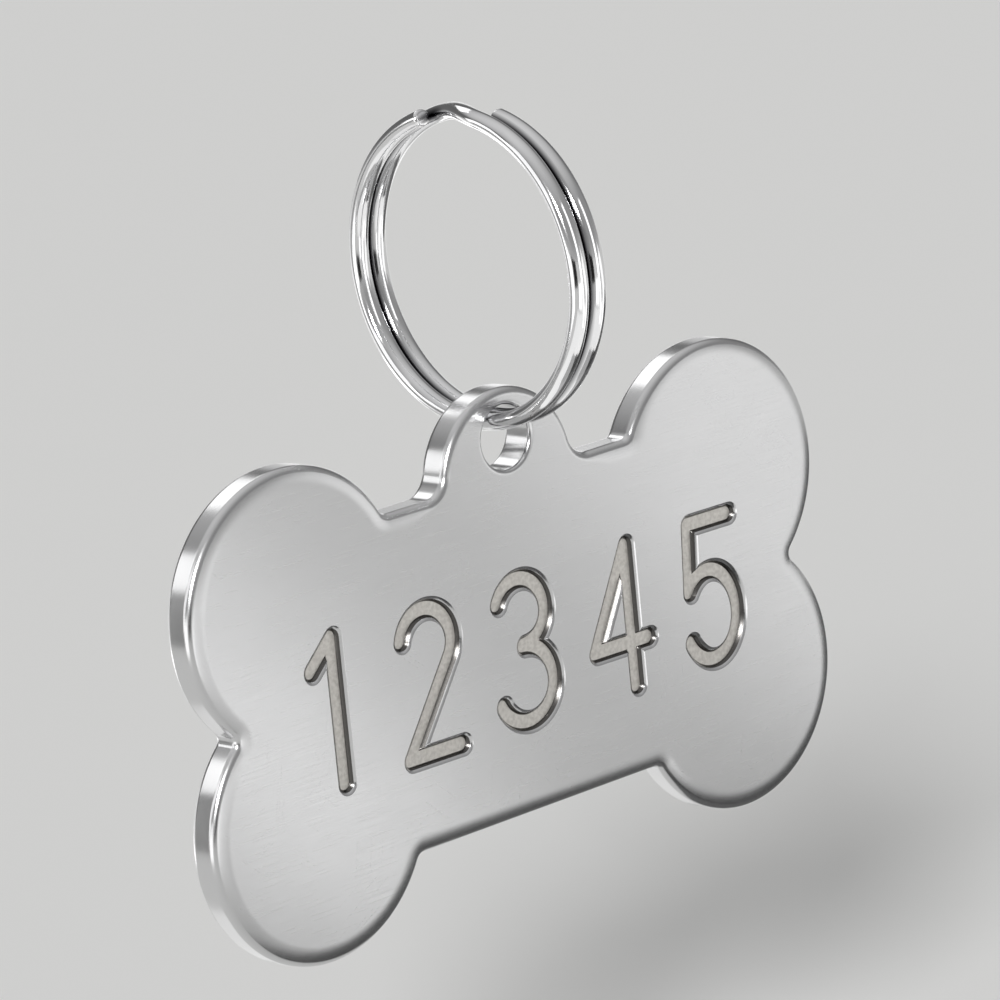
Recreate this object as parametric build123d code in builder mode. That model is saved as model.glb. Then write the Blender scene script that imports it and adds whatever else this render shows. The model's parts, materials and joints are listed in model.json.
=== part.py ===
import os
from math import cos, pi, radians, sin, sqrt

from build123d import *

# A bone-shaped pet tag hanging from a split ring. Millimetres.
# +Z is up, +X runs along the bone and the engraved face looks to -Y.
# The origin is inside the top of the ring, where the tag is hung up.

# The plate
tag_width = 40.0
lobe_radius = 6.45
lobe_spacing = 9.8
waist_height = 15.8
ear_radius = 4.15
ear_land = 0.1
plate_thickness = 1.7
edge_round = 0.5
rim_round = 0.2
ear_fillet = 1.2
waist_fillet = 0.5
notch_fillet = 0.4

# The split ring
ring_diameter = 15.0
wire_diameter = 0.8
turn_gap = 0.42
split_angle = 30.0
end_round = 0.3
arcs_per_turn = 4

# The fit of the ring in the ear's hole
hole_play = 0.49
hang_clearance = 0.06

# A rounded edge takes at most this share of the metal it rounds, and the fillets at
# the ends of the ear's shoulders at most these shares of the shoulder
most_round = 0.45
most_ear_fillet = 0.6
most_waist_fillet = 0.3

# The two turns lie side by side, one each side of the plane x = 0
wire_radius = wire_diameter / 2
turn_x = (wire_diameter + turn_gap) / 2
ring_radius = ring_diameter / 2 - wire_radius
ring_z = -(ring_radius - wire_radius)

# The hole takes both wires, which rest against the top of its wall.
# The ring's curve lifts them a little more at the faces of the plate.
hole_radius = turn_x + wire_radius + hole_play
seat_radius = hole_radius - wire_radius - hang_clearance
ring_lift = ring_radius - sqrt(ring_radius**2 - (plate_thickness / 2) ** 2)
seat_height = sqrt(seat_radius**2 - turn_x**2) - ring_lift
hole_z = ring_z - ring_radius - seat_height

# The ear stands on the waist's top edge, with the hole close under its top
plate_round = min(edge_round, most_round * plate_thickness)
ear_wall = plate_round + ear_land + rim_round
hole_rise = waist_height / 2 + ear_radius - ear_wall - hole_radius
bone_z = hole_z - hole_rise
lobe_x = tag_width / 2 - lobe_radius

# A straight shoulder runs from the ear to the place where a lobe rises out of the waist
lobe_drop = (waist_height - lobe_spacing) / 2
shoulder = lobe_x - sqrt(lobe_radius**2 - lobe_drop**2) - ear_radius
ear_corner = min(ear_fillet, most_ear_fillet * shoulder)
waist_corner = min(waist_fillet, most_waist_fillet * shoulder)


# The tag: four lobes, a straight waist and an ear, cut as one plate
def at_height(level, tolerance=1e-4):
    return lambda vertex: abs(vertex.Y - level) < tolerance


plate_plane = Plane(origin=(0, 0, bone_z), x_dir=(1, 0, 0), z_dir=(0, -1, 0))
with BuildPart() as bone_tag:
    with BuildSketch(plate_plane) as outline:
        Rectangle(2 * lobe_x, waist_height)
        with GridLocations(2 * lobe_x, lobe_spacing, 2, 2):
            Circle(lobe_radius)
        with Locations((0, waist_height / 2)):
            Circle(ear_radius)
        top_corners = outline.vertices().filter_by(at_height(waist_height / 2)).sort_by(Axis.X)
        low_corners = outline.vertices().filter_by(at_height(-waist_height / 2))
        fillet([top_corners[0], top_corners[-1]] + low_corners, radius=waist_corner)
        top_corners = outline.vertices().filter_by(at_height(waist_height / 2))
        fillet(top_corners.sort_by(lambda vertex: abs(vertex.X))[:2], radius=ear_corner)
        fillet(outline.vertices().filter_by(at_height(0)), radius=notch_fillet)
        with Locations((0, hole_rise)):
            Circle(hole_radius, mode=Mode.SUBTRACT)
    extrude(amount=plate_thickness / 2, both=True)
    sides = bone_tag.faces().filter_by(Axis.Y)
    fillet([edge for side in sides for edge in side.outer_wire().edges()], radius=plate_round)
    sides = bone_tag.faces().filter_by(Axis.Y)
    rims = [wire for side in sides for wire in side.inner_wires()]
    fillet([edge for rim in rims for edge in rim.edges()], radius=rim_round)
bone_tag.part.label = "bone_tag"


# The split ring: one wire wound twice round, stepping across at the split
def wire_point(angle, x):
    return Vector(x, ring_radius * cos(radians(angle)), ring_z + ring_radius * sin(radians(angle)))


def wire_tangent(angle):
    return Vector(0, sin(radians(angle)), -cos(radians(angle)))


def biarc(start, start_tangent, end, end_tangent):
    """Two arcs in space that meet smoothly, with tangents of one length at both ends"""
    chord = end - start
    both = start_tangent + end_tangent
    along = chord.dot(both)
    spread = 4 - both.dot(both)
    length = chord.dot(chord) / (along + sqrt(along**2 + spread * chord.dot(chord)))
    first_corner = start + start_tangent * length
    second_corner = end - end_tangent * length
    middle = (first_corner + second_corner) * 0.5
    TangentArc(start, middle, tangent=start_tangent)
    TangentArc(middle, end, tangent=second_corner - first_corner)


# Each turn starts at the split and goes round by equal steps, down the far side first
first_angle = 90 - split_angle / 2
turn_step = (360 - split_angle) / arcs_per_turn
stations = []
for turn in range(2):
    for step in range(arcs_per_turn + 1):
        stations.append((first_angle - 360 * turn - turn_step * step, (2 * turn - 1) * turn_x))

with BuildPart() as split_ring:
    with BuildLine() as winding:
        for (angle, x), (next_angle, next_x) in zip(stations, stations[1:]):
            start = wire_point(angle, x)
            end = wire_point(next_angle, next_x)
            biarc(start, wire_tangent(angle), end, wire_tangent(next_angle))
    wire_path = winding.wire()
    with BuildSketch(Plane(origin=wire_path @ 0, z_dir=wire_path % 0)):
        Circle(wire_radius)
    sweep()
    wire_ends = split_ring.faces().filter_by(GeomType.PLANE)
    fillet(wire_ends.edges(), radius=min(end_round, most_round * wire_diameter))
split_ring.part.label = "split_ring"

# The least gap between the two turns, on points along the wire's centre
wire_length = wire_path.length
samples = 400
points = [wire_path @ (i / samples) for i in range(samples + 1)]
half_turn = int(samples * pi * ring_radius / wire_length)
gap = min(
    (points[i] - points[j]).length - wire_diameter
    for i in range(samples + 1)
    for j in range(i + half_turn, samples + 1)
)
print(f"split ring: wire {wire_length:.2f} mm long, least gap to itself {gap:.3f} mm")
tube_volume = wire_length * pi * wire_radius**2
print(f"split ring: volume {split_ring.part.volume:.3f} mm3, section times length {tube_volume:.3f} mm3")

os.makedirs("parts", exist_ok=True)
export_step(bone_tag.part, "parts/bone_tag.step")
export_step(split_ring.part, "parts/split_ring.step")
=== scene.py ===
import json

import bpy
import numpy as np
from mathutils import Matrix, Vector
from mathutils.geometry import delaunay_2d_cdt


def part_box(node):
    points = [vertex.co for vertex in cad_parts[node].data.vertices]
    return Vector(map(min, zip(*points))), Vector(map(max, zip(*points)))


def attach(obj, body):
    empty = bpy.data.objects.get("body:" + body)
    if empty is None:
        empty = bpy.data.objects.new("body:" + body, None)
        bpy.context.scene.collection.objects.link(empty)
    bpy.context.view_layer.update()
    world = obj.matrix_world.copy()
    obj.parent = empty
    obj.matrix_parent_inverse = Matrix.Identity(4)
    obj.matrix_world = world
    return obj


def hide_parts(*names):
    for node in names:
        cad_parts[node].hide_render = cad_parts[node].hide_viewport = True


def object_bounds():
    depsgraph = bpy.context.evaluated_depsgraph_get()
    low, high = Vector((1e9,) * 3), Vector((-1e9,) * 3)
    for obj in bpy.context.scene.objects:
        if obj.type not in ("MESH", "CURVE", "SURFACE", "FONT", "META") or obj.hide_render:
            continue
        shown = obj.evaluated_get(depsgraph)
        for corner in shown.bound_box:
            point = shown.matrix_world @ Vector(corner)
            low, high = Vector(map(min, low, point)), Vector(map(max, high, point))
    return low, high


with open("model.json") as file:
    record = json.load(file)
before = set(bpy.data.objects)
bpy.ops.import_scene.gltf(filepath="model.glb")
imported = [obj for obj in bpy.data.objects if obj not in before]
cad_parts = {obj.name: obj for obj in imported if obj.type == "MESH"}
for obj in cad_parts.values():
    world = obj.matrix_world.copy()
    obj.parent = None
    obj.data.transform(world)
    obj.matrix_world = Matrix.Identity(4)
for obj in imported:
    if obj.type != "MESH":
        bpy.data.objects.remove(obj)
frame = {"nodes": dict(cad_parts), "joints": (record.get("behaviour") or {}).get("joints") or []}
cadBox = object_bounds()
mm = 0.001
print("frame loaded with", ", ".join(sorted(frame["nodes"])))


# Small helpers for meshes and shader nodes

def toWorld(flat, depth, centreZ):
    # a drawing's (x, z) in mm, at a depth along y in mm, as points in metres
    depth = np.broadcast_to(depth, flat.shape[:-1])
    points = np.stack([flat[..., 0], depth, flat[..., 1] + centreZ], -1)
    return points * mm


def gridFaces(rows, columns, start=0, closedRows=True, closedColumns=False):
    # quads over a grid of points numbered row by row, wrapping round where it is closed
    row = np.arange(rows if closedRows else rows - 1)[:, None]
    column = np.arange(columns if closedColumns else columns - 1)[None, :]
    nextRow = (row + 1) % rows
    nextColumn = (column + 1) % columns
    corners = [row * columns + column, nextRow * columns + column,
               nextRow * columns + nextColumn, row * columns + nextColumn]
    shape = row.size, column.size
    quads = np.stack([np.broadcast_to(corner, shape) for corner in corners], -1)
    return start + quads.reshape(-1, 4)


def newPiece(name, points, faces, cornerNormals, material):
    # cornerNormals takes the mesh's corners and the face of each and returns their normals
    mesh = bpy.data.meshes.new(name)
    mesh.from_pydata(points.tolist(), [], faces)
    mesh.shade_smooth()
    corner = np.empty(len(mesh.loops), int)
    mesh.loops.foreach_get("vertex_index", corner)
    sides = np.empty(len(mesh.polygons), int)
    mesh.polygons.foreach_get("loop_total", sides)
    face = np.repeat(np.arange(sides.size), sides)
    mesh.normals_split_custom_set(cornerNormals(corner, face).tolist())
    mesh.materials.append(material)
    piece = bpy.data.objects.new(name, mesh)
    bpy.context.collection.objects.link(piece)
    return piece


def addValue(piece, name, values):
    # one number at each vertex, for the material to read
    attribute = piece.data.attributes.new(name, "FLOAT", "POINT")
    attribute.data.foreach_set("value", np.asarray(values, np.float32))


def addVector(piece, name, values):
    attribute = piece.data.attributes.new(name, "FLOAT_VECTOR", "POINT")
    attribute.data.foreach_set("vector", np.asarray(values, np.float32).ravel())


def addNode(tree, kind, inputs=None, **settings):
    # each input is a socket to link from or a value to set
    node = tree.nodes.new(kind)
    for key, value in settings.items():
        setattr(node, key, value)
    for key, value in (inputs or {}).items():
        if isinstance(value, bpy.types.NodeSocket):
            tree.links.new(value, node.inputs[key])
        else:
            node.inputs[key].default_value = value
    return node


# Bone-shaped plate

plate = dict(lobeRadius=6.45, lobeSpacing=9.8, waistHeight=15.8, earRadius=4.15,
             earFillet=1.2, waistFillet=0.5, notchFillet=0.4,
             edgeRound=0.38, lean=12.0, crown=0.65, earCrown=0.1,
             crownStart=0.4, crownRun=2.4,  # where the crown widens, by distance from the ear
             rimRound=0.2, holeRadius=1.5, step=0.2, holeSteps=96, roundSteps=12, crownSteps=5)
tagLow, tagHigh = (np.array(corner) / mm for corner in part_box("bone_tag"))
hinge = frame["joints"][0]
plate["half"] = (tagHigh[1] - tagLow[1]) / 2
plate["lobeX"] = (tagHigh[0] - tagLow[0]) / 2 - plate["lobeRadius"]
plate["centreZ"] = tagLow[2] + plate["lobeSpacing"] / 2 + plate["lobeRadius"]
plate["holeZ"] = hinge["pos_m"][2] / mm - plate["centreZ"]


def arcRun(centre, radius, start, end, bulge=True):
    # points along an arc, from start to end in radians, and the direction out of the metal
    count = max(6, int(abs(end - start) * radius / plate["step"]))
    angle = np.linspace(start, end, count, endpoint=False)
    spoke = np.stack([np.cos(angle), np.sin(angle)], -1)
    return np.asarray(centre) + radius * spoke, spoke if bulge else -spoke


def lineRun(start, end, outward):
    # points along a straight run, and its one direction out of the metal
    count = max(2, int(np.hypot(*np.subtract(end, start)) / plate["step"]))
    share = np.linspace(0, 1, count, endpoint=False)[:, None]
    return np.asarray(start) * (1 - share) + np.asarray(end) * share, np.tile(outward, (count, 1))


def boneOutline():
    # right half from the ear's top clockwise to the middle of the lower edge: arcs that
    # touch one another, each fillet's centre found from the two curves it joins; then mirrored
    lobeR, lobeX, lobeZ = plate["lobeRadius"], plate["lobeX"], plate["lobeSpacing"] / 2
    edgeZ, earR, earF = plate["waistHeight"] / 2, plate["earRadius"], plate["earFillet"]
    waistF, notchF = plate["waistFillet"], plate["notchFillet"]
    earX = np.sqrt(earR**2 + 2 * earR * earF)
    waistX = lobeX - np.sqrt((lobeR + waistF)**2 - (edgeZ + waistF - lobeZ)**2)
    notchX = lobeX + np.sqrt((lobeR + notchF)**2 - lobeZ**2)
    earTurn = np.arctan2(earF, earX)
    waistTurn = np.arctan2(edgeZ + waistF - lobeZ, waistX - lobeX)
    notchTurn = np.arctan2(-lobeZ, notchX - lobeX)
    runs = [
        arcRun((0, edgeZ), earR, np.pi / 2, earTurn),
        arcRun((earX, edgeZ + earF), earF, np.pi + earTurn, 1.5 * np.pi, False),
        lineRun((earX, edgeZ), (waistX, edgeZ), (0, 1)),
        arcRun((waistX, edgeZ + waistF), waistF, 1.5 * np.pi, np.pi + waistTurn, False),
        arcRun((lobeX, lobeZ), lobeR, waistTurn, notchTurn),
        arcRun((notchX, 0), notchF, np.pi + notchTurn, np.pi - notchTurn, False),
        arcRun((lobeX, -lobeZ), lobeR, -notchTurn, -waistTurn),
        arcRun((waistX, -edgeZ - waistF), waistF, np.pi - waistTurn, np.pi / 2, False),
        lineRun((waistX, -edgeZ), (0, -edgeZ), (0, -1)),
        (np.array([[0, -edgeZ]]), np.array([[0, -1]])),
    ]
    right, out = (np.concatenate(part) for part in zip(*runs))
    flip = np.array([-1, 1])
    return np.concatenate([right, right[-2:0:-1] * flip]), np.concatenate([out, out[-2:0:-1] * flip])


def edgeBand(outline, outward, crown, radius):
    # across the edge: a slope that steepens evenly over the crown's width, a round from there to
    # the wall, and the mirror of both down to the back face; carried round an outline
    lean = np.radians(plate["lean"])
    slope = np.linspace(0, 1, plate["crownSteps"], endpoint=False)
    share = np.concatenate([slope, np.ones(plate["roundSteps"] + 1)])
    tilt = np.arctan(np.tan(lean) * share)
    tilt[plate["crownSteps"]:] = np.linspace(lean, np.pi / 2, plate["roundSteps"] + 1)
    turn = np.maximum(tilt, lean)
    crown = np.broadcast_to(crown, len(outline))[:, None]
    inward = crown * (1 - share) + radius * (1 - np.sin(turn))
    down = crown * np.tan(lean) * share**2 / 2 + radius * (np.cos(lean) - np.cos(turn))
    mirror = np.concatenate([np.arange(tilt.size), np.arange(tilt.size)[::-1]])
    side = np.repeat([-1, 1], tilt.size)
    flat = outline[:, None] - outward[:, None] * inward[:, mirror, None]
    along = side * (plate["half"] - down[:, mirror])
    out = np.sin(tilt)[mirror] * outward[:, :, None]
    normal = np.stack([out[:, 0], np.broadcast_to(side * np.cos(tilt)[mirror], along.shape), out[:, 1]], -1)
    return flat, along, normal, np.broadcast_to(np.sin(tilt)[mirror], along.shape)


def crownWidths(outline):
    # narrow round the ear, where the hole leaves little metal, and wider from there on
    fromEar = np.hypot(outline[:, 0], outline[:, 1] - plate["waistHeight"] / 2) - plate["earRadius"]
    share = np.clip((fromEar - plate["crownStart"]) / plate["crownRun"], 0, 1)
    return plate["earCrown"] + (plate["crown"] - plate["earCrown"]) * share**2 * (3 - 2 * share)


# Plain numbers cut into the face, as strokes of a round-ended cutter

cut = dict(digits="12345", pitch=6.15, wide=1.6, tall=3.35, waist=0.2, centre=(0.0, -0.25), turn=-0.6,
           width=1.14, lip=0.15, wall=0.26, lipDrop=0.075, depth=0.27, step=0.1, capSteps=13)
zone = dict(outside=-9, face=-1, lip=0, wall=1, floor=2, edge=8, back=9)  # parts of the plate's skin


def digitStrokes(digit):
    # each stroke is a line, or a bow on an ellipse from one angle to another in degrees
    w, t = cut["wide"], cut["tall"]
    upper, lower = (t - cut["waist"]) / 2, (t + cut["waist"]) / 2
    bar = -0.38 * t
    shapes = {
        "1": [("line", (-0.55 * w, 0.62 * t), (0.3 * w, t)), ("line", (0.3 * w, t), (0.3 * w, -t))],
        "2": [("bow", (0, t - w), (w, w), 165, -34.84),  # ends where the slant touches it
              ("line", (0.821 * w, t - 1.571 * w), (-w, -t)), ("line", (-w, -t), (w, -t))],
        "3": [("bow", (-0.1 * w, t - upper), (upper, upper), 155, -90),
              ("bow", (-0.1 * w, lower - t), (lower, lower), 90, -155)],
        "4": [("line", (0.45 * w, t), (-1.1 * w, bar)), ("line", (-1.1 * w, bar), (1.1 * w, bar)),
              ("line", (0.45 * w, t), (0.45 * w, -t))],
        "5": [("line", (0.95 * w, t), (-0.75 * w, t)), ("line", (-0.75 * w, t), (-0.889 * w, 0.043 * t)),
              ("bow", (-0.05 * w, -0.36 * t), (1.08 * w, 0.64 * t), 141, -150)],
    }
    return shapes[digit]


def strokeLine(stroke):
    # a stroke's middle line as evenly spaced points
    if stroke[0] == "line":
        start, end = map(np.array, stroke[1:])
        share = np.linspace(0, 1, max(3, int(np.hypot(*(end - start)) / cut["step"])))[:, None]
        return start * (1 - share) + end * share
    centre, radii, first, last = stroke[1:]
    count = int(np.radians(abs(last - first)) * max(radii) / cut["step"])
    angle = np.radians(np.linspace(first, last, count))
    return np.array(centre) + np.stack([radii[0] * np.cos(angle), radii[1] * np.sin(angle)], -1)


def strokeLoop(line, halfWidth):
    # the outline at one distance from a line: both sides and a half circle round each end
    along = np.gradient(line, axis=0)
    along /= np.linalg.norm(along, axis=1)[:, None]
    side = np.stack([along[:, 1], -along[:, 0]], -1)
    swing = np.linspace(0, np.pi, cut["capSteps"])[1:-1, None]
    endCap = line[-1] + halfWidth * (side[-1] * np.cos(swing) + along[-1] * np.sin(swing))
    startCap = line[0] - halfWidth * (side[0] * np.cos(swing) + along[0] * np.sin(swing))
    return np.concatenate([line + side * halfWidth, endCap, (line - side * halfWidth)[::-1], startCap])


def numberLines():
    # all strokes where they lie on the face, in the drawing's mm
    turn = np.radians(cut["turn"])
    spin = np.array([[np.cos(turn), np.sin(turn)], [-np.sin(turn), np.cos(turn)]])
    places = (np.arange(len(cut["digits"])) - (len(cut["digits"]) - 1) / 2) * cut["pitch"]
    return [(strokeLine(stroke) + (place, 0)) @ spin + cut["centre"]
            for digit, place in zip(cut["digits"], places) for stroke in digitStrokes(digit)]


def nearestLine(points, lines):
    # distance from each point to the nearest stroke, over all the strokes' short pieces,
    # and the direction away from that stroke
    start = np.concatenate([line[:-1] for line in lines])
    step = np.concatenate([np.diff(line, axis=0) for line in lines])
    offset = points[:, None] - start
    share = np.clip((offset * step).sum(-1) / (step**2).sum(-1), 0, 1)
    gap = offset - share[..., None] * step
    nearest = np.linalg.norm(gap, axis=-1).argmin(1)
    gap = gap[np.arange(len(points)), nearest]
    distance = np.linalg.norm(gap, axis=1)
    return distance, gap / np.maximum(distance, 1e-9)[:, None]


def cutDepth(distance):
    # across a stroke: a level floor, a steep wall, a lip that slopes less and the level face
    half = cut["width"] / 2
    return np.interp(distance, [half - cut["wall"], half - cut["lip"], half],
                     [cut["depth"], cut["lipDrop"], 0])


def cutNormals(distance, away):
    # a side of the cut leans towards its stroke, evenly from the lip's slope to the wall's
    half = cut["width"] / 2
    lipTilt = np.arctan2(cut["lipDrop"], cut["lip"])
    wallTilt = np.arctan2(cut["depth"] - cut["lipDrop"], cut["wall"] - cut["lip"])
    tilt = np.interp(distance, [half - cut["wall"], half], [wallTilt, lipTilt])
    lean = -np.sin(tilt)[:, None] * away
    return np.stack([lean[:, 0], -np.cos(tilt), lean[:, 1]], -1)


def flatFace(rim, hole, lines):
    # triangles between the rim's loop and the hole's, with the strokes' loops as edges in them
    # and the zone of each: that of the deepest loop round it
    half = cut["width"] / 2
    rimLoop, holeLoop = 0, 1
    loops = [rim[::-1], hole]
    zones = [zone["face"], zone["outside"]]
    for line in lines:
        for kind, inset in (("lip", 0), ("wall", cut["lip"]), ("floor", cut["wall"])):
            loops.append(strokeLoop(line, half - inset))
            zones.append(zone[kind])
    sizes = np.array([len(loop) for loop in loops])
    first = np.cumsum(sizes) - sizes
    names = [list(range(f, f + s)) for f, s in zip(first, sizes)]
    vectors = [Vector(p) for p in np.concatenate(loops).tolist()]
    tolerance = 1e-6
    points, _, faces, cameFrom, _, inside = delaunay_2d_cdt(vectors, [], names, 1, tolerance)
    level = np.array([zone["outside"] if holeLoop in around or rimLoop not in around
                      else max(zones[loop] for loop in around) for around in inside])
    source = np.array([min(given, default=-1) for given in cameFrom])
    keep = level != zone["outside"]
    return np.array(points), np.array(faces)[keep], level[keep], source


def makePlate(material):
    # a band carried round the outline and one round the hole, with a flat face between their
    # front loops, sunk along the strokes, and a plain one between their back loops
    outline, outward = boneOutline()
    angle = np.linspace(0, 2 * np.pi, plate["holeSteps"], endpoint=False)
    spoke = np.stack([np.cos(angle), np.sin(angle)], -1)
    holeLoop = np.array([0, plate["holeZ"]]) + plate["holeRadius"] * spoke
    bands = [edgeBand(outline, outward, crownWidths(outline), plate["edgeRound"]),
             edgeBand(holeLoop, -spoke, plate["earCrown"], plate["rimRound"])]
    rows = [band[0].shape[0] for band in bands]
    columns = bands[0][0].shape[1]
    starts = [0, rows[0] * columns]
    bandPoints = np.concatenate([toWorld(b[0], b[1], plate["centreZ"]).reshape(-1, 3) for b in bands])
    bandNormals = np.concatenate([b[2].reshape(-1, 3) for b in bands])
    polish = np.concatenate([b[3].ravel() for b in bands])
    bandFaces = [gridFaces(r, columns, s) for r, s in zip(rows, starts)]

    # number of the band's vertex at each place of its front and back loop
    front = np.concatenate([np.arange(rows[0])[::-1] * columns,
                            starts[1] + np.arange(rows[1]) * columns])
    lines = numberLines()
    faceList, region = [], []
    extra = np.empty((0, 3))
    sideNormals = np.zeros_like(bandPoints)
    for isBack in (False, True):
        rim, hole = (band[0][:, 0] for band in bands)
        found, triangles, level, source = flatFace(rim, hole, [] if isBack else lines)
        onBand = (source >= 0) & (source < front.size)
        distance, away = nearestLine(found, lines)
        depth = 0 if isBack else cutDepth(distance)
        fresh = toWorld(found, depth - plate["half"], plate["centreZ"])[~onBand]
        sideNormals = np.concatenate([sideNormals, cutNormals(distance, away)[~onBand]])
        number = np.empty(len(found), int)
        number[onBand] = front[source[onBand]] + (columns - 1 if isBack else 0)
        number[~onBand] = len(bandPoints) + len(extra) + np.arange(len(fresh))
        extra = np.concatenate([extra, fresh])
        faceList += number[triangles[:, ::-1] if isBack else triangles].tolist()
        region += (np.full(len(triangles), zone["back"]) if isBack else level).tolist()
    points = np.concatenate([bandPoints, extra])
    quads = np.concatenate(bandFaces).tolist()
    region = np.concatenate([np.full(len(quads), zone["edge"]), np.array(region)])
    bandNormals = np.concatenate([bandNormals, np.zeros_like(extra)])

    def cornerNormals(corner, face):
        kind = region[face][:, None]
        normals = np.where(kind == zone["back"], (0, 1, 0), (0, -1, 0)).astype(float)
        normals = np.where(kind == zone["edge"], bandNormals[corner], normals)
        isSide = (kind == zone["lip"]) | (kind == zone["wall"])
        return np.where(isSide, sideNormals[corner], normals)

    piece = newPiece("bonePlate", points, quads + faceList, cornerNormals, material)
    addValue(piece, "polish", np.concatenate([polish, np.zeros(len(extra))]))
    # masks for the cut's floor, walls and lips; the walls' mask carries painted shade
    for name, kind in (("cutFloor", "floor"), ("cutWallPaintedShade", "wall"), ("cutLip", "lip")):
        attribute = piece.data.attributes.new(name, "FLOAT", "FACE")
        attribute.data.foreach_set("value", (region == zone[kind]).astype(np.float32))
    return piece


# Split ring

ring = dict(wire=0.8, wireWide=1.0, diameter=14.999, split=30.0, endRound=0.14,
            gap=0.08,  # the turns press together on a real ring, the solid holds them apart
            round=48, turnStep=1.0, tipSteps=10)
ring["centreZ"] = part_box("split_ring")[0][2] / mm + ring["diameter"] / 2


def makeRing(material):
    # an oval carried along the wire's middle line: round once beside the plane x = 0, across
    # it at the split by a smooth step, and round again; it shrinks to a small flat at each end
    radius = ring["wire"] / 2
    bend = ring["diameter"] / 2 - radius
    side = (ring["wireWide"] + ring["gap"]) / 2
    first = 90 - ring["split"] / 2  # degrees up from the +Y side, running down as the wire goes on
    last = first - 2 * 360 + ring["split"]
    tip = np.degrees(ring["endRound"] / bend) * (1 - np.cos(np.linspace(0, np.pi / 2, ring["tipSteps"])))
    middle = np.arange(first - tip[-1], last + tip[-1], -ring["turnStep"])
    angle = np.concatenate([first - tip[:-1], middle, (last + tip)[::-1]])
    fromTip = np.radians(np.minimum(first - angle, angle - last)) * bend
    stepShare = np.clip((first - 360 + ring["split"] - angle) / ring["split"], 0, 1)
    x = side * (2 * stepShare**2 * (3 - 2 * stepShare) - 1)
    turn = np.radians(angle)
    line = np.stack([x, bend * np.cos(turn), bend * np.sin(turn) + ring["centreZ"]], -1)
    along = np.gradient(line, axis=0)
    along /= np.linalg.norm(along, axis=1)[:, None]
    outward = np.stack([0 * turn, np.cos(turn), np.sin(turn)], -1)
    sideways = np.cross(outward, along)
    lost = np.clip(1 - fromTip / ring["endRound"], 0, 1)
    thick = (1 - ring["endRound"] / radius * (1 - np.sqrt(1 - lost**2)))[:, None, None]
    around = np.linspace(0, 2 * np.pi, ring["round"], endpoint=False)[None, :, None]
    tall, wide = radius * np.cos(around), ring["wireWide"] / 2 * np.sin(around)
    points = line[:, None] + thick * (outward[:, None] * tall + sideways[:, None] * wide)
    spoke = outward[:, None] * tall / radius**2 + sideways[:, None] * wide / (ring["wireWide"] / 2)**2
    spoke /= np.linalg.norm(spoke, axis=2, keepdims=True)
    ending = np.where(np.arange(len(line)) < len(line) / 2, -lost, lost)[:, None, None]
    normals = spoke * np.sqrt(1 - ending**2) + along[:, None] * ending
    rows, columns = points.shape[:2]
    faces = gridFaces(rows, columns, closedRows=False, closedColumns=True).tolist()
    faces += [np.arange(columns).tolist(), (np.arange(columns)[::-1] + (rows - 1) * columns).tolist()]
    flat = normals.reshape(-1, 3)
    piece = newPiece("ringWire", points.reshape(-1, 3) * mm, faces,
                     lambda corner, face: flat[corner], material)
    walked = np.concatenate([[0], np.cumsum(np.linalg.norm(np.diff(line, axis=0), axis=1))])
    addValue(piece, "walked", np.repeat(walked, columns))
    addVector(piece, "spoke", spoke.reshape(-1, 3))
    # how far the wire faces its other turn, for the painted shade between the turns
    addValue(piece, "seamPaintedShade", (-x[:, None] / side * spoke[..., 0]).ravel())
    return piece


# Finishes

def newGroup(name, inputs, outputs):
    # a shader node group with named number, vector or colour sockets
    tree = bpy.data.node_groups.new(name, "ShaderNodeTree")
    for direction, sockets in (("INPUT", inputs), ("OUTPUT", outputs)):
        for label, kind in sockets.items():
            tree.interface.new_socket(label, in_out=direction, socket_type=kind)
    return tree, tree.nodes.new("NodeGroupInput").outputs, tree.nodes.new("NodeGroupOutput").inputs


def mathNode(tree, operation, *values, clamp=False):
    node = addNode(tree, "ShaderNodeMath", dict(enumerate(values)), operation=operation, use_clamp=clamp)
    return node.outputs[0]


def mapped(tree, value, low, high, toLow, toHigh):
    node = addNode(tree, "ShaderNodeMapRange", {"Value": value, "From Min": low, "From Max": high,
                                                "To Min": toLow, "To Max": toHigh})
    return node.outputs["Result"]


def noise(tree, vector, scale, detail=2.0):
    node = addNode(tree, "ShaderNodeTexNoise", {"Vector": vector, "Scale": scale, "Detail": detail})
    return node.outputs["Fac"]


def stretched(tree, vector, scale, turn=(0, 0, 0)):
    node = addNode(tree, "ShaderNodeMapping", {"Vector": vector, "Scale": scale, "Rotation": turn})
    return node.outputs["Vector"]


fineLines = dict(drawnOut=(0.016, 1, 1), patch=(0.2, 0.5, 0.5), patchScale=1.3, detail=3)


def grainGroup():
    # fine lines left by drawing or brushing: noise drawn out along the first axis, in mm, and
    # a coarser noise for its patches; both run from 0 to 1 about a half
    tree, given, result = newGroup("fineGrain",
                                   {"Vector": "NodeSocketVector", "Fineness": "NodeSocketFloat"},
                                   {"Lines": "NodeSocketFloat", "Patches": "NodeSocketFloat"})
    fine = noise(tree, stretched(tree, given["Vector"], fineLines["drawnOut"]),
                 given["Fineness"], fineLines["detail"])
    coarse = noise(tree, stretched(tree, given["Vector"], fineLines["patch"]),
                   fineLines["patchScale"], fineLines["detail"])
    tree.links.new(fine, result["Lines"])
    tree.links.new(coarse, result["Patches"])
    return tree


hairs = dict(sets=((0.5, 16.0), (-0.7, 14.0), (1.35, 18.0)),  # slant in radians, and fineness
             drawnOut=(0.012, 1, 1), highest=(0.69, 0.73), places=(0.52, 0.64),
             placeScale=0.12, placeGrowth=0.008)  # the places' scale, and what fineness adds to it


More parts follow.
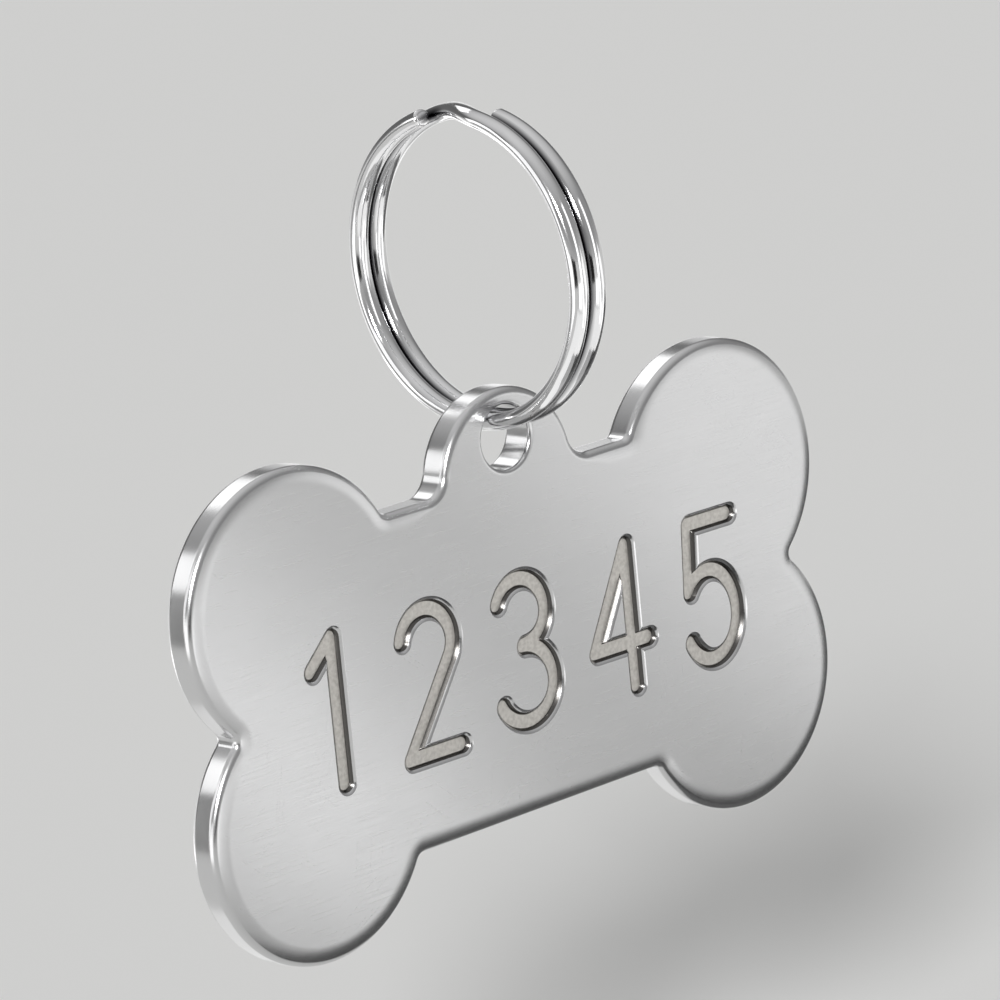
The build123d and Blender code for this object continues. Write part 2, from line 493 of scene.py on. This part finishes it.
def scratchGroup():
    # hairline marks: three sets of long thin noise at different slants, each cut to its
    # highest parts and let through only in some places
    tree, given, result = newGroup("hairMarks",
                                   {"Vector": "NodeSocketVector", "Amount": "NodeSocketFloat"},
                                   {"Marks": "NodeSocketFloat"})
    total = None
    for slant, fineness in hairs["sets"]:
        turned = stretched(tree, given["Vector"], (1, 1, 1), (0, slant, 0))
        thin = noise(tree, stretched(tree, turned, hairs["drawnOut"]), fineness, 0.0)
        line = mapped(tree, thin, *hairs["highest"], 0, 1)
        broad = noise(tree, given["Vector"], hairs["placeScale"] + hairs["placeGrowth"] * fineness, 1.0)
        place = mapped(tree, broad, *hairs["places"], 0, 1)
        hair = mathNode(tree, "MULTIPLY", line, place)
        total = hair if total is None else mathNode(tree, "MAXIMUM", total, hair)
    tree.links.new(mathNode(tree, "MULTIPLY", total, given["Amount"]), result["Marks"])
    return tree


grain, marks = grainGroup(), scratchGroup()


def placed(tree, group, inputs):
    return addNode(tree, "ShaderNodeGroup", inputs, node_tree=group).outputs


def blend(tree, share, first, second):
    # mixes two colours by a share; each is a socket or an (r, g, b)
    node = addNode(tree, "ShaderNodeMix", data_type="RGBA")
    sockets = [s for s in node.inputs if s.type == "RGBA"]
    tree.links.new(share, node.inputs["Factor"])
    for socket, value in zip(sockets, (first, second)):
        if isinstance(value, bpy.types.NodeSocket):
            tree.links.new(value, socket)
        else:
            socket.default_value = (*value, 1)
    return [s for s in node.outputs if s.type == "RGBA"][0]


# the cut walls' colour, nearly black, is painted shade for the grooves
steel = dict(bright=(0.60, 0.60, 0.605), dull=(0.585, 0.585, 0.59), edge=(0.74, 0.74, 0.745),
             cutFloor=(0.66, 0.64, 0.605), cutShade=(0.54, 0.52, 0.49), cutWallPaintedShade=(0.12, 0.115, 0.11),
             faceRough=(0.24, 0.28), edgeRough=(0.17, 0.23), floorRough=0.46,
             fineness=20.0, hairAmount=0.15, hairRough=0.08, hairDepth=1.5,
             toolScale=5.0, toolDepth=6.0, grainBump=0.05, bumpHeight=0.02)


def newMetal(name):
    material = bpy.data.materials.new(name)
    material.use_nodes = True
    tree = material.node_tree
    shader = tree.nodes["Principled BSDF"]
    shader.inputs["Metallic"].default_value = 1.0
    return material, tree, shader


def tagSteel():
    # satin face brushed along the bone, polished round its edge, and cut numbers with polished
    # lips, walls painted nearly black as shade, and a floor that shows small marks of the cutter
    material, tree, shader = newMetal("tagSteel")
    place = addNode(tree, "ShaderNodeTexCoord").outputs["Object"]
    inMm = stretched(tree, place, (1000, 1000, 1000))
    lines = placed(tree, grain, {"Vector": inMm, "Fineness": steel["fineness"]})
    hair = placed(tree, marks, {"Vector": inMm, "Amount": steel["hairAmount"]})["Marks"]
    polish, floor, wall, lip = (addNode(tree, "ShaderNodeAttribute", attribute_name=n).outputs["Fac"]
                                for n in ("polish", "cutFloor", "cutWallPaintedShade", "cutLip"))
    polish = mathNode(tree, "MAXIMUM", polish, lip)
    colour = blend(tree, mapped(tree, lines["Patches"], 0.3, 0.7, 0, 1), steel["dull"], steel["bright"])
    colour = blend(tree, polish, colour, steel["edge"])
    tool = noise(tree, inMm, steel["toolScale"])
    floorColour = blend(tree, mapped(tree, tool, 0.35, 0.65, 0, 1), steel["cutShade"], steel["cutFloor"])
    colour = blend(tree, floor, colour, floorColour)
    # painted shade: the cut's walls are coloured nearly black to stand for the shade in the grooves
    colour = blend(tree, wall, colour, steel["cutWallPaintedShade"])
    tree.links.new(colour, shader.inputs["Base Color"])
    face = mapped(tree, lines["Lines"], 0.3, 0.7, *steel["faceRough"])
    face = mathNode(tree, "ADD", face, mathNode(tree, "MULTIPLY", hair, steel["hairRough"]))
    edge = mapped(tree, lines["Patches"], 0.3, 0.7, *steel["edgeRough"])
    rough = addNode(tree, "ShaderNodeMix", {0: polish, 2: face, 3: edge}).outputs[0]
    rough = addNode(tree, "ShaderNodeMix", {0: floor, 2: rough, 3: steel["floorRough"]}).outputs[0]
    tree.links.new(rough, shader.inputs["Roughness"])
    flatOnly = mapped(tree, polish, 0.0, 0.3, 1, 0)  # no grain on the polished edge
    scored = mathNode(tree, "MULTIPLY", hair, steel["hairDepth"])
    height = mathNode(tree, "SUBTRACT", lines["Lines"], scored)
    tooled = mathNode(tree, "MULTIPLY", mathNode(tree, "MULTIPLY", tool, floor), steel["toolDepth"])
    height = mathNode(tree, "ADD", height, tooled)
    bump = addNode(tree, "ShaderNodeBump", {"Height": mathNode(tree, "MULTIPLY", height, flatOnly),
                                            "Strength": steel["grainBump"],
                                            "Distance": steel["bumpHeight"] * mm})
    tree.links.new(bump.outputs["Normal"], shader.inputs["Normal"])
    return material


# the nearly black seam colour is painted shade where the ring's turns meet
nickel = dict(bright=(0.88, 0.88, 0.885), dull=(0.80, 0.80, 0.81), seamPaintedShade=(0.07, 0.07, 0.075),
              seamShadeSpan=(0.5, 0.95), rough=(0.07, 0.14), fineness=6.0, drawBump=0.04, bumpHeight=0.02)


def ringNickel():
    # plated wire with painted shade where its turns meet, and faint lines from drawing along the wire
    material, tree, shader = newMetal("ringNickel")
    walked = addNode(tree, "ShaderNodeAttribute", attribute_name="walked").outputs["Fac"]
    spoke = addNode(tree, "ShaderNodeAttribute", attribute_name="spoke").outputs["Vector"]
    split = addNode(tree, "ShaderNodeSeparateXYZ", {"Vector": spoke})
    along = addNode(tree, "ShaderNodeCombineXYZ", {"X": walked, "Y": split.outputs["X"],
                                                   "Z": split.outputs["Z"]})
    lines = placed(tree, grain, {"Vector": along.outputs["Vector"], "Fineness": nickel["fineness"]})
    colour = blend(tree, mapped(tree, lines["Patches"], 0.35, 0.65, 0, 1), nickel["dull"], nickel["bright"])
    seamPaintedShade = addNode(tree, "ShaderNodeAttribute", attribute_name="seamPaintedShade").outputs["Fac"]
    # painted shade: nearly black where one turn of the wire faces the other
    colour = blend(tree, mapped(tree, seamPaintedShade, *nickel["seamShadeSpan"], 0, 1), colour, nickel["seamPaintedShade"])
    tree.links.new(colour, shader.inputs["Base Color"])
    tree.links.new(mapped(tree, lines["Lines"], 0.3, 0.7, *nickel["rough"]), shader.inputs["Roughness"])
    bump = addNode(tree, "ShaderNodeBump", {"Height": lines["Lines"], "Strength": nickel["drawBump"],
                                            "Distance": nickel["bumpHeight"] * mm})
    tree.links.new(bump.outputs["Normal"], shader.inputs["Normal"])
    return material


tagPiece = makePlate(tagSteel())
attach(tagPiece, "tag")
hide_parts("bone_tag")
print("plate:", len(tagPiece.data.polygons), "faces")

ringPiece = makeRing(ringNickel())
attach(ringPiece, "ring")
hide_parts("split_ring")
print("ring:", len(ringPiece.data.polygons), "faces")


# Floor, boards, lights and camera

studio = dict(floorDrop=24.0, floorSize=12.0, floorColour=(0.85, 0.85, 0.84),
              skyFront=((0.0, 0.44), (0.2, 0.3), (0.5, 0.3), (0.8, 0.5), (1.0, 0.65)),
              skyBack=((0.0, 0.34), (0.15, 0.14), (0.45, 0.12), (0.7, 0.5), (1.0, 0.7)),
              skyTurn=0.3)  # how far to either side of y = 0 the one sky fades into the other


def makeFloor():
    mesh = bpy.data.meshes.new("floor")
    span = studio["floorSize"] / 2
    level = (tagLow[2] - studio["floorDrop"]) * mm
    corners = [(x, y, level) for x, y in ((-span, -span), (span, -span), (span, span), (-span, span))]
    mesh.from_pydata(corners, [], [(0, 1, 2, 3)])
    floor = bpy.data.objects.new("floor", mesh)
    bpy.context.collection.objects.link(floor)
    material = bpy.data.materials.new("paleFloor")
    material.use_nodes = True
    shader = material.node_tree.nodes["Principled BSDF"]
    shader.inputs["Base Color"].default_value = (*studio["floorColour"], 1)
    shader.inputs["Specular IOR Level"].default_value = 0.0
    mesh.materials.append(material)


def makeWorld():
    # brightness by height above the horizon: behind, a pale band, a dark one and a bright ceiling,
    # and in front, where the faces look, all of it paler
    world = bpy.data.worlds.new("studio")
    bpy.context.scene.world = world
    world.use_nodes = True
    tree = world.node_tree
    place = addNode(tree, "ShaderNodeTexCoord")
    split = addNode(tree, "ShaderNodeSeparateXYZ", {"Vector": place.outputs["Generated"]}).outputs
    ramps = []
    for stops in (studio["skyFront"], studio["skyBack"]):
        ramp = addNode(tree, "ShaderNodeValToRGB", {"Fac": split["Z"]})
        while len(ramp.color_ramp.elements) < len(stops):
            ramp.color_ramp.elements.new(1.0)
        for element, (level, glow) in zip(ramp.color_ramp.elements, stops):
            element.position = level
            element.color = (glow, glow, glow, 1)
        ramps.append(ramp.outputs["Color"])
    behind = mapped(tree, split["Y"], -studio["skyTurn"], studio["skyTurn"], 0, 1)
    tree.links.new(blend(tree, behind, *ramps), tree.nodes["Background"].inputs["Color"])
    tree.nodes["Background"].inputs["Strength"].default_value = 1.0


def makeBoard(name, corners, tone):
    # a sheet out of the picture that only reflections show, as a flag beside the lens does
    mesh = bpy.data.meshes.new(name)
    mesh.from_pydata((np.array(corners) * mm).tolist(), [], [tuple(range(len(corners)))])
    sheet = bpy.data.objects.new(name, mesh)
    bpy.context.collection.objects.link(sheet)
    material = bpy.data.materials.new(name)
    material.use_nodes = True
    shader = material.node_tree.nodes["Principled BSDF"]
    shader.inputs["Base Color"].default_value = (tone, tone, tone, 1)
    shader.inputs["Roughness"].default_value = 1.0
    mesh.materials.append(material)
    sheet.visible_camera = sheet.visible_diffuse = False
    sheet.visible_shadow = sheet.visible_transmission = False


cards = dict(low=-59.0, rise=0.31, riseFrom=-10.0,
             near=((-8, -37), (4, -35), (14, -30), (24, -26.5), (30, -21.5),
                   (36, -17.5), (46, -17.5), (54, -22), (64, -27), (80, -34)),
             middle=((-8, -17), (4, -14), (16, -15), (26, -12), (34, -7),
                     (44, -5), (54, -8), (64, -10), (80, -14)),
             far=((6, -10), (12, 5), (20, 5), (50, 14), (80, 42)),
             sheets={"edgeCard": ("near", "middle", 0.05), "paleCard": ("middle", "far", 0.14)})


def layCards():
    # two sheets side by side under the face, rising to the right, that darken its edge there
    for name, (first, last, tone) in cards["sheets"].items():
        foot = cards[first] + cards[last][::-1]
        corners = [(x, y, cards["low"] + cards["rise"] * (x - cards["riseFrom"])) for x, y in foot]
        makeBoard(name, corners, tone)


flags = {"sideFlag": dict(low=-58.0, high=20.0, tone=0.55, foot=((-136.5, 80.8), (-99.5, 117.2))),
         "lensFlag": dict(low=-38.0, high=-6.0, tone=0.03, foot=((-113, -65), (-55, -118)))}


def standFlag(name, low, high, tone, foot):
    # an upright board over a line on the floor, from one height to another
    corners = [(*point, low) for point in foot] + [(*point, high) for point in foot[::-1]]
    makeBoard(name, corners, tone)


sun = dict(strength=2.2, breadth=12.0, towards=(-0.72, -0.55, 0.42))


def keyLight():
    # one broad lamp far off, so that the floor is lit evenly and the shadow has a soft edge
    light = bpy.data.lights.new("key", "SUN")
    light.energy = sun["strength"]
    light.angle = np.radians(sun["breadth"])
    lamp = bpy.data.objects.new("key", light)
    bpy.context.collection.objects.link(lamp)
    lamp.matrix_world = Vector(sun["towards"]).to_track_quat("Z", "Y").to_matrix().to_4x4()


softBoxes = {
    "leftPanel": dict(place=(-120, -4, -35), aim=(0, 0, -30), size=(76, 48), glow=0.7),
    "frontPanel": dict(place=(-12, -100, -44), aim=(0, 0, -40), size=(42, 30), glow=0.7),
    "fillPanel": dict(place=(19, -97, -46), aim=(0, 0, -24), size=(34, 38), glow=0.34),
    "backStrip": dict(place=(116, 124, 19), aim=(0, 0, -20), size=(120, 40), glow=0.4),
    "leftStrip": dict(place=(-59, 49.5, 13.7), aim=(-19, 0, -16), size=(27, 46), glow=0.95, spin=-59),
    "topStrip": dict(place=(72, 212, 178), aim=(-10, 0, -18), size=(150, 96), glow=0.95, spin=25),
    "ringPanel": dict(place=(0, 112, -58), aim=(0, 112, 0), size=(120, 40), glow=0.9),
    "ringStrip": dict(place=(-118, 35, 20), aim=(0, 35, 20), size=(106, 56), glow=0.8, spin=46),
    "ringLow": dict(place=(15, -30, -50), aim=(15, -30, 0), size=(130, 90), glow=0.28, ringAlone=True),
    "ringFront": dict(place=(31, -116, 15), aim=(0, 0, -7), size=(34, 110), glow=0.95, ringAlone=True),
    "lowPanel": dict(place=(5, 30, -58), aim=(5, 30, 0), size=(70, 22), glow=0.22),
    "tailPanel": dict(place=(-25, 125, -46), aim=(-25, 0, -24), size=(50, 60), glow=0.4, spin=30),
}
panelPower = 4.0  # watts for each square metre of a panel whose face shows a glow of 1
ringOnly = bpy.data.collections.new("ringOnly")
ringOnly.objects.link(ringPiece)


def softBox(name, place, aim, size, glow, spin=0, ringAlone=False):
    # a rectangle of light with a size in mm, spun in its own plane; glow is how bright its face is;
    # it shows in reflections and doesn't light the floor, and may be for the ring alone
    light = bpy.data.lights.new(name, "AREA")
    light.shape = "RECTANGLE"
    light.size, light.size_y = (side * mm for side in size)
    light.energy = glow * panelPower * light.size * light.size_y
    box = bpy.data.objects.new(name, light)
    bpy.context.collection.objects.link(box)
    away = (Vector(place) - Vector(aim)).to_track_quat("Z", "Y").to_matrix().to_4x4()
    spun = away @ Matrix.Rotation(np.radians(spin), 4, "Z")
    box.matrix_world = Matrix.Translation(Vector(place) * mm) @ spun
    box.visible_camera = box.visible_diffuse = False
    if ringAlone:
        box.light_linking.receiver_collection = ringOnly


camera = dict(azimuth=-43.2, elevation=14.0, roll=6.0, distance=270.0, aim=(0.0, 0.0, -17.6),
              fill=0.8,  # how much of the picture's height the part would take, seen level
              sensor=36.0, clipStart=0.01)


def makeCamera():
    # stands at the photograph's angle and rolls, so that the hanging tag tilts as it does there
    data = bpy.data.cameras.new("camera")
    turn, lift, roll = (np.radians(camera[angle]) for angle in ("azimuth", "elevation", "roll"))
    back = Vector((np.sin(turn) * np.cos(lift), -np.cos(turn) * np.cos(lift), np.sin(lift)))
    aim = Vector(camera["aim"])
    spot = Vector((0, 0, plate["centreZ"])) + back * camera["distance"]
    back = (spot - aim).normalized()
    right = Vector((0, 0, 1)).cross(back).normalized()
    up = back.cross(right)
    rolled = right * np.cos(roll) - up * np.sin(roll), right * np.sin(roll) + up * np.cos(roll)
    eye = bpy.data.objects.new("camera", data)
    eye.matrix_world = Matrix.Translation(spot * mm) @ Matrix((*rolled, back)).transposed().to_4x4()
    tall = (cadBox[1].z - cadBox[0].z) / mm / camera["fill"]
    data.sensor_width = camera["sensor"]
    data.lens = data.sensor_width * (spot - aim).length / tall
    data.clip_start = camera["clipStart"]
    bpy.context.collection.objects.link(eye)
    bpy.context.scene.camera = eye


panels = dict(distance=80.0, length=70.0, slant=42.0,
              strips={"upperPanel": (7.8, 34.0, 0.48),  # inner edge, outer edge and glow
                      "lowerPanel": (-21.0, -10.8, 0.88)})


def facePanels():
    # two long panels in front of the face, where the camera sees them by reflection, slanted
    # so that a soft darker band runs across the face between them, and the same behind the back
    turn, lift = np.radians(camera["azimuth"]), np.radians(camera["elevation"])
    bounce = np.array([-np.sin(turn) * np.cos(lift), -np.cos(turn) * np.cos(lift), -np.sin(lift)])
    across = np.array([-bounce[1], bounce[0], 0]) / np.cos(lift)
    upward = np.cross(bounce, across)
    slant = np.radians(panels["slant"])
    sideways = across * np.cos(slant) + upward * np.sin(slant)
    middle = np.array([0, 0, plate["centreZ"]]) + bounce * panels["distance"]
    behind = np.array([1, -1, 1])
    for name, (inner, outer, glow) in panels["strips"].items():
        place = middle + (inner + outer) / 2 * sideways
        aim = place - bounce
        size = abs(outer - inner), panels["length"]
        softBox(name, place, aim, size, glow, panels["slant"])
        softBox(name + "Back", place * behind, aim * behind, size, glow, -panels["slant"])


makeFloor()
makeWorld()
layCards()
for name, flag in flags.items():
    standFlag(name, **flag)
keyLight()
for name, box in softBoxes.items():
    softBox(name, **box)
facePanels()
makeCamera()
bpy.context.scene.view_settings.view_transform = "Standard"
print("stage, lights and camera set")
